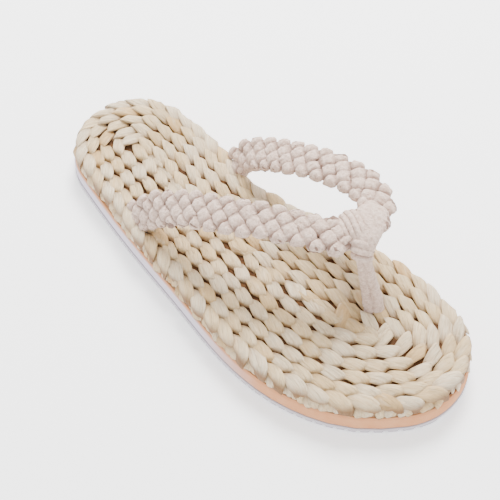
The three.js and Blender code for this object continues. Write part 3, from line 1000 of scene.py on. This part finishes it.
# a bundle of threads over the join of the straps, bound by cross turns at the neck
def makeKnot():
    s = knot
    cords = []
    path = curveThrough(s["bundle"], s["steps"], True)
    share = np.linspace(0, 1, len(path))
    along = np.gradient(path, axis=0)
    along /= np.linalg.norm(along, axis=1)[:, None]
    lean = path - np.array(s["middle"])
    lean -= along * (lean * along).sum(1)[:, None]
    lean /= np.linalg.norm(lean, axis=1)[:, None]
    side = np.cross(along, lean)
    gather = 1 - s["gather"] * smooth((share - s["gatherFrom"]) / (1 - s["gatherFrom"]))
    for j in range(s["threads"]):
        place = 2 * j / (s["threads"] - 1) - 1
        offset = place * (s["spread"] - s["threadSize"]) / 2 * gather
        sink = s["sink"] * place ** 2 + s["stagger"] * (j % 2)
        line = path + side * offset[:, None] - lean * sink
        facing = lean + side * place * s["outwards"]
        cords.append((line, facing, np.ones(len(path)), np.full(len(path), s["shadeShare"])))
    route = layRoute(thongRoute, s["routeStep"])
    steps = np.arange(len(route["at"]))
    start, end = s["turnArc"]
    angle = np.linspace(start * math.pi, end * math.pi, s["steps"])
    sideways, through = np.cos(angle), np.sin(angle)
    for j in range(s["turns"]):
        near = s["turnFrom"] + (s["turnTo"] - s["turnFrom"]) * j / (s["turns"] - 1)
        share = near + s["turnRise"] * angle / math.pi
        spot = np.interp(share, route["at"] / route["length"], steps)
        centre, across, facing = [
            np.stack([np.interp(spot, steps, route[name][:, k]) for k in range(3)], 1)
            for name in ("centre", "across", "facing")]
        slimWide, slimThick = s["turnSlimmer"]
        wide = (s["turnWide"] - s["turnSize"]) / 2 * (1 - slimWide * j)
        thick = (s["turnThick"] - s["turnSize"]) / 2 * (1 - slimThick * j)
        line = centre + across * (sideways * wide + s["turnAside"])[:, None]
        line = line + facing * (through * thick)[:, None]
        lean = across * sideways[:, None] + facing * through[:, None]
        size = np.full(len(line), s["turnSize"] / s["threadSize"])
        cords.append((line, lean, size, np.full(len(line), s["shadeShare"])))
    return makeCords("knotThreads", cords, s["threadSize"], s["threadSize"], s["cordLook"])


# what lies inside the knot, so that no gap shows between its threads
def makeKnotFilling():
    s = knot
    route = layRoute(thongRoute, s["fillStep"], s["fillStart"], s["turnTo"])
    share = np.linspace(0, 1, len(route["at"]))
    # full in the middle, rounded off at both ends
    swell = np.sqrt(np.clip(1 - (2 * share - 1) ** s["fillRound"], s["fillTip"], 1))
    swell = swell * (1 - s["fillTaper"] * share)
    size = s["fillLeast"] + (1 - s["fillLeast"]) * swell
    cord = (route["centre"], route["facing"], size, np.full(len(share), s["shadeShare"]))
    return makeCords("knotFilling", [cord], s["fillWidth"], s["fillThickness"], s["fillLook"])


post = {
    "width": 5.8,
    "thickness": 6.4,
    "gap": 1.7,
    "from": 0.415,  # share of the thong route
    "foot": (0.563, 0.198, -0.24, -146, 0),  # a last row of that route, inside the footbed
    "step": 0.6,
    # size at the top, what it gains on the way down, how soon, and how the gap follows
    "topSize": 0.80,
    "gain": 0.30,
    "haste": 1.15,
    "gapPower": 1.4,
    "outwards": 0.25,  # how far the strands turn apart
    "shadeShare": 0.1,
    "cordLook": (20, 1.4, 560.0),
}


# the cord between the toes is two soft strands side by side, spreading as they go down
def makePost():
    s = post
    route = layRoute(thongRoute + [s["foot"]], s["step"], s["from"])
    share = np.linspace(0, 1, len(route["at"]))
    grow = s["topSize"] + s["gain"] * smooth(share * s["haste"])
    cords = []
    for side in (-1, 1):
        apart = side * s["gap"] * grow ** s["gapPower"]
        line = route["centre"] + route["across"] * apart[:, None]
        lean = route["facing"] + route["across"] * s["outwards"] * side
        cords.append((line, lean, grow, np.full(len(share), s["shadeShare"])))
    return makeCords("postCord", cords, s["width"], s["thickness"], s["cordLook"])


plait = makeFootbed()
core = makeCore()
outerBraid = braidStrap("outerBraid", outerRoute, *braid["outerNarrow"])
innerBraid = braidStrap("innerBraid", innerRoute + innerTail, *braid["innerNarrow"])
knotThreads = makeKnot()
knotFilling = makeKnotFilling()
postCord = makePost()

for piece, node in (
    (plait, "footbed"), (core, "footbed"), (outerBraid, "upper"), (innerBraid, "upper"),
    (knotThreads, "upper"), (knotFilling, "upper"), (postCord, "toe_post"),
):
    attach(piece, "root")
    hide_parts(node)

for node, material in (("midsole", foam), ("outsole", rubber)):
    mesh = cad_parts[node].data
    mesh.materials.clear()
    mesh.materials.append(material)
print("pieces in place")


studio = {
    "floorHalf": 3,
    "floorTone": (0.93, 0.93, 0.93, 1),
    "floorGlow": 0.62,
    "skyGlow": 1.9,
    "white": (1, 1, 1, 1),
    "keyPlace": (-0.45, 0.6, 1.0),
    "keySize": 0.50,
    "keyPower": 42.0,
}


def makeStage():
    s = studio
    half = s["floorHalf"]
    corners = [(-half, -half, 0), (half, -half, 0), (half, half, 0), (-half, half, 0)]
    floor = addMesh("floor", corners, [], [(0, 1, 2, 3)])
    material, tree, shader = newMaterial("paleFloor", roughness=0.9, specular=0.1)
    shader.inputs["Base Color"].default_value = s["floorTone"]
    shader.inputs["Emission Color"].default_value = s["white"]
    shader.inputs["Emission Strength"].default_value = s["floorGlow"]
    floor.data.materials.append(material)
    world = bpy.data.worlds.new("softStudio")
    world.use_nodes = True
    sky = world.node_tree.nodes["Background"]
    sky.inputs["Color"].default_value = s["white"]
    sky.inputs["Strength"].default_value = s["skyGlow"]
    bpy.context.scene.world = world


# one soft light, aimed at the middle of the floor
def makeLight():
    s = studio
    data = bpy.data.lights.new("keyLight", "AREA")
    data.size = s["keySize"]
    data.energy = s["keyPower"]
    lamp = bpy.data.objects.new("keyLight", data)
    lamp.location = s["keyPlace"]
    lamp.rotation_euler = (-Vector(s["keyPlace"])).to_track_quat("-Z", "Y").to_euler()
    bpy.context.scene.collection.objects.link(lamp)


# the photograph's viewpoint: degrees and millimetres, before the plan's shift
view = {
    "target": (50.88, 45.58, 0.0),
    "azimuth": 33.74,
    "elevation": 52.84,
    "distance": 581.48,
    "lens": 80.0,
    "sensor": 36.0,
    "aim": (0.0, 0.0, 12.0),
}


def makeCamera():
    s = view
    az, el = math.radians(s["azimuth"]), math.radians(s["elevation"])
    level = math.cos(el)
    away = Vector((math.sin(az) * level, -math.cos(az) * level, math.sin(el)))
    place = (Vector(s["target"]) + away * s["distance"] + Vector(shift)) * toMetres
    data = bpy.data.cameras.new("photoCamera")
    data.sensor_width = s["sensor"]
    data.lens = s["lens"]
    data.clip_start = 0.01
    camera = bpy.data.objects.new("photoCamera", data)
    camera.location = place
    towards = Vector(s["aim"]) * toMetres - place
    camera.rotation_euler = towards.to_track_quat("-Z", "Y").to_euler()
    bpy.context.scene.collection.objects.link(camera)
    bpy.context.scene.camera = camera


makeStage()
makeLight()
makeCamera()
print("stage, light and camera set")
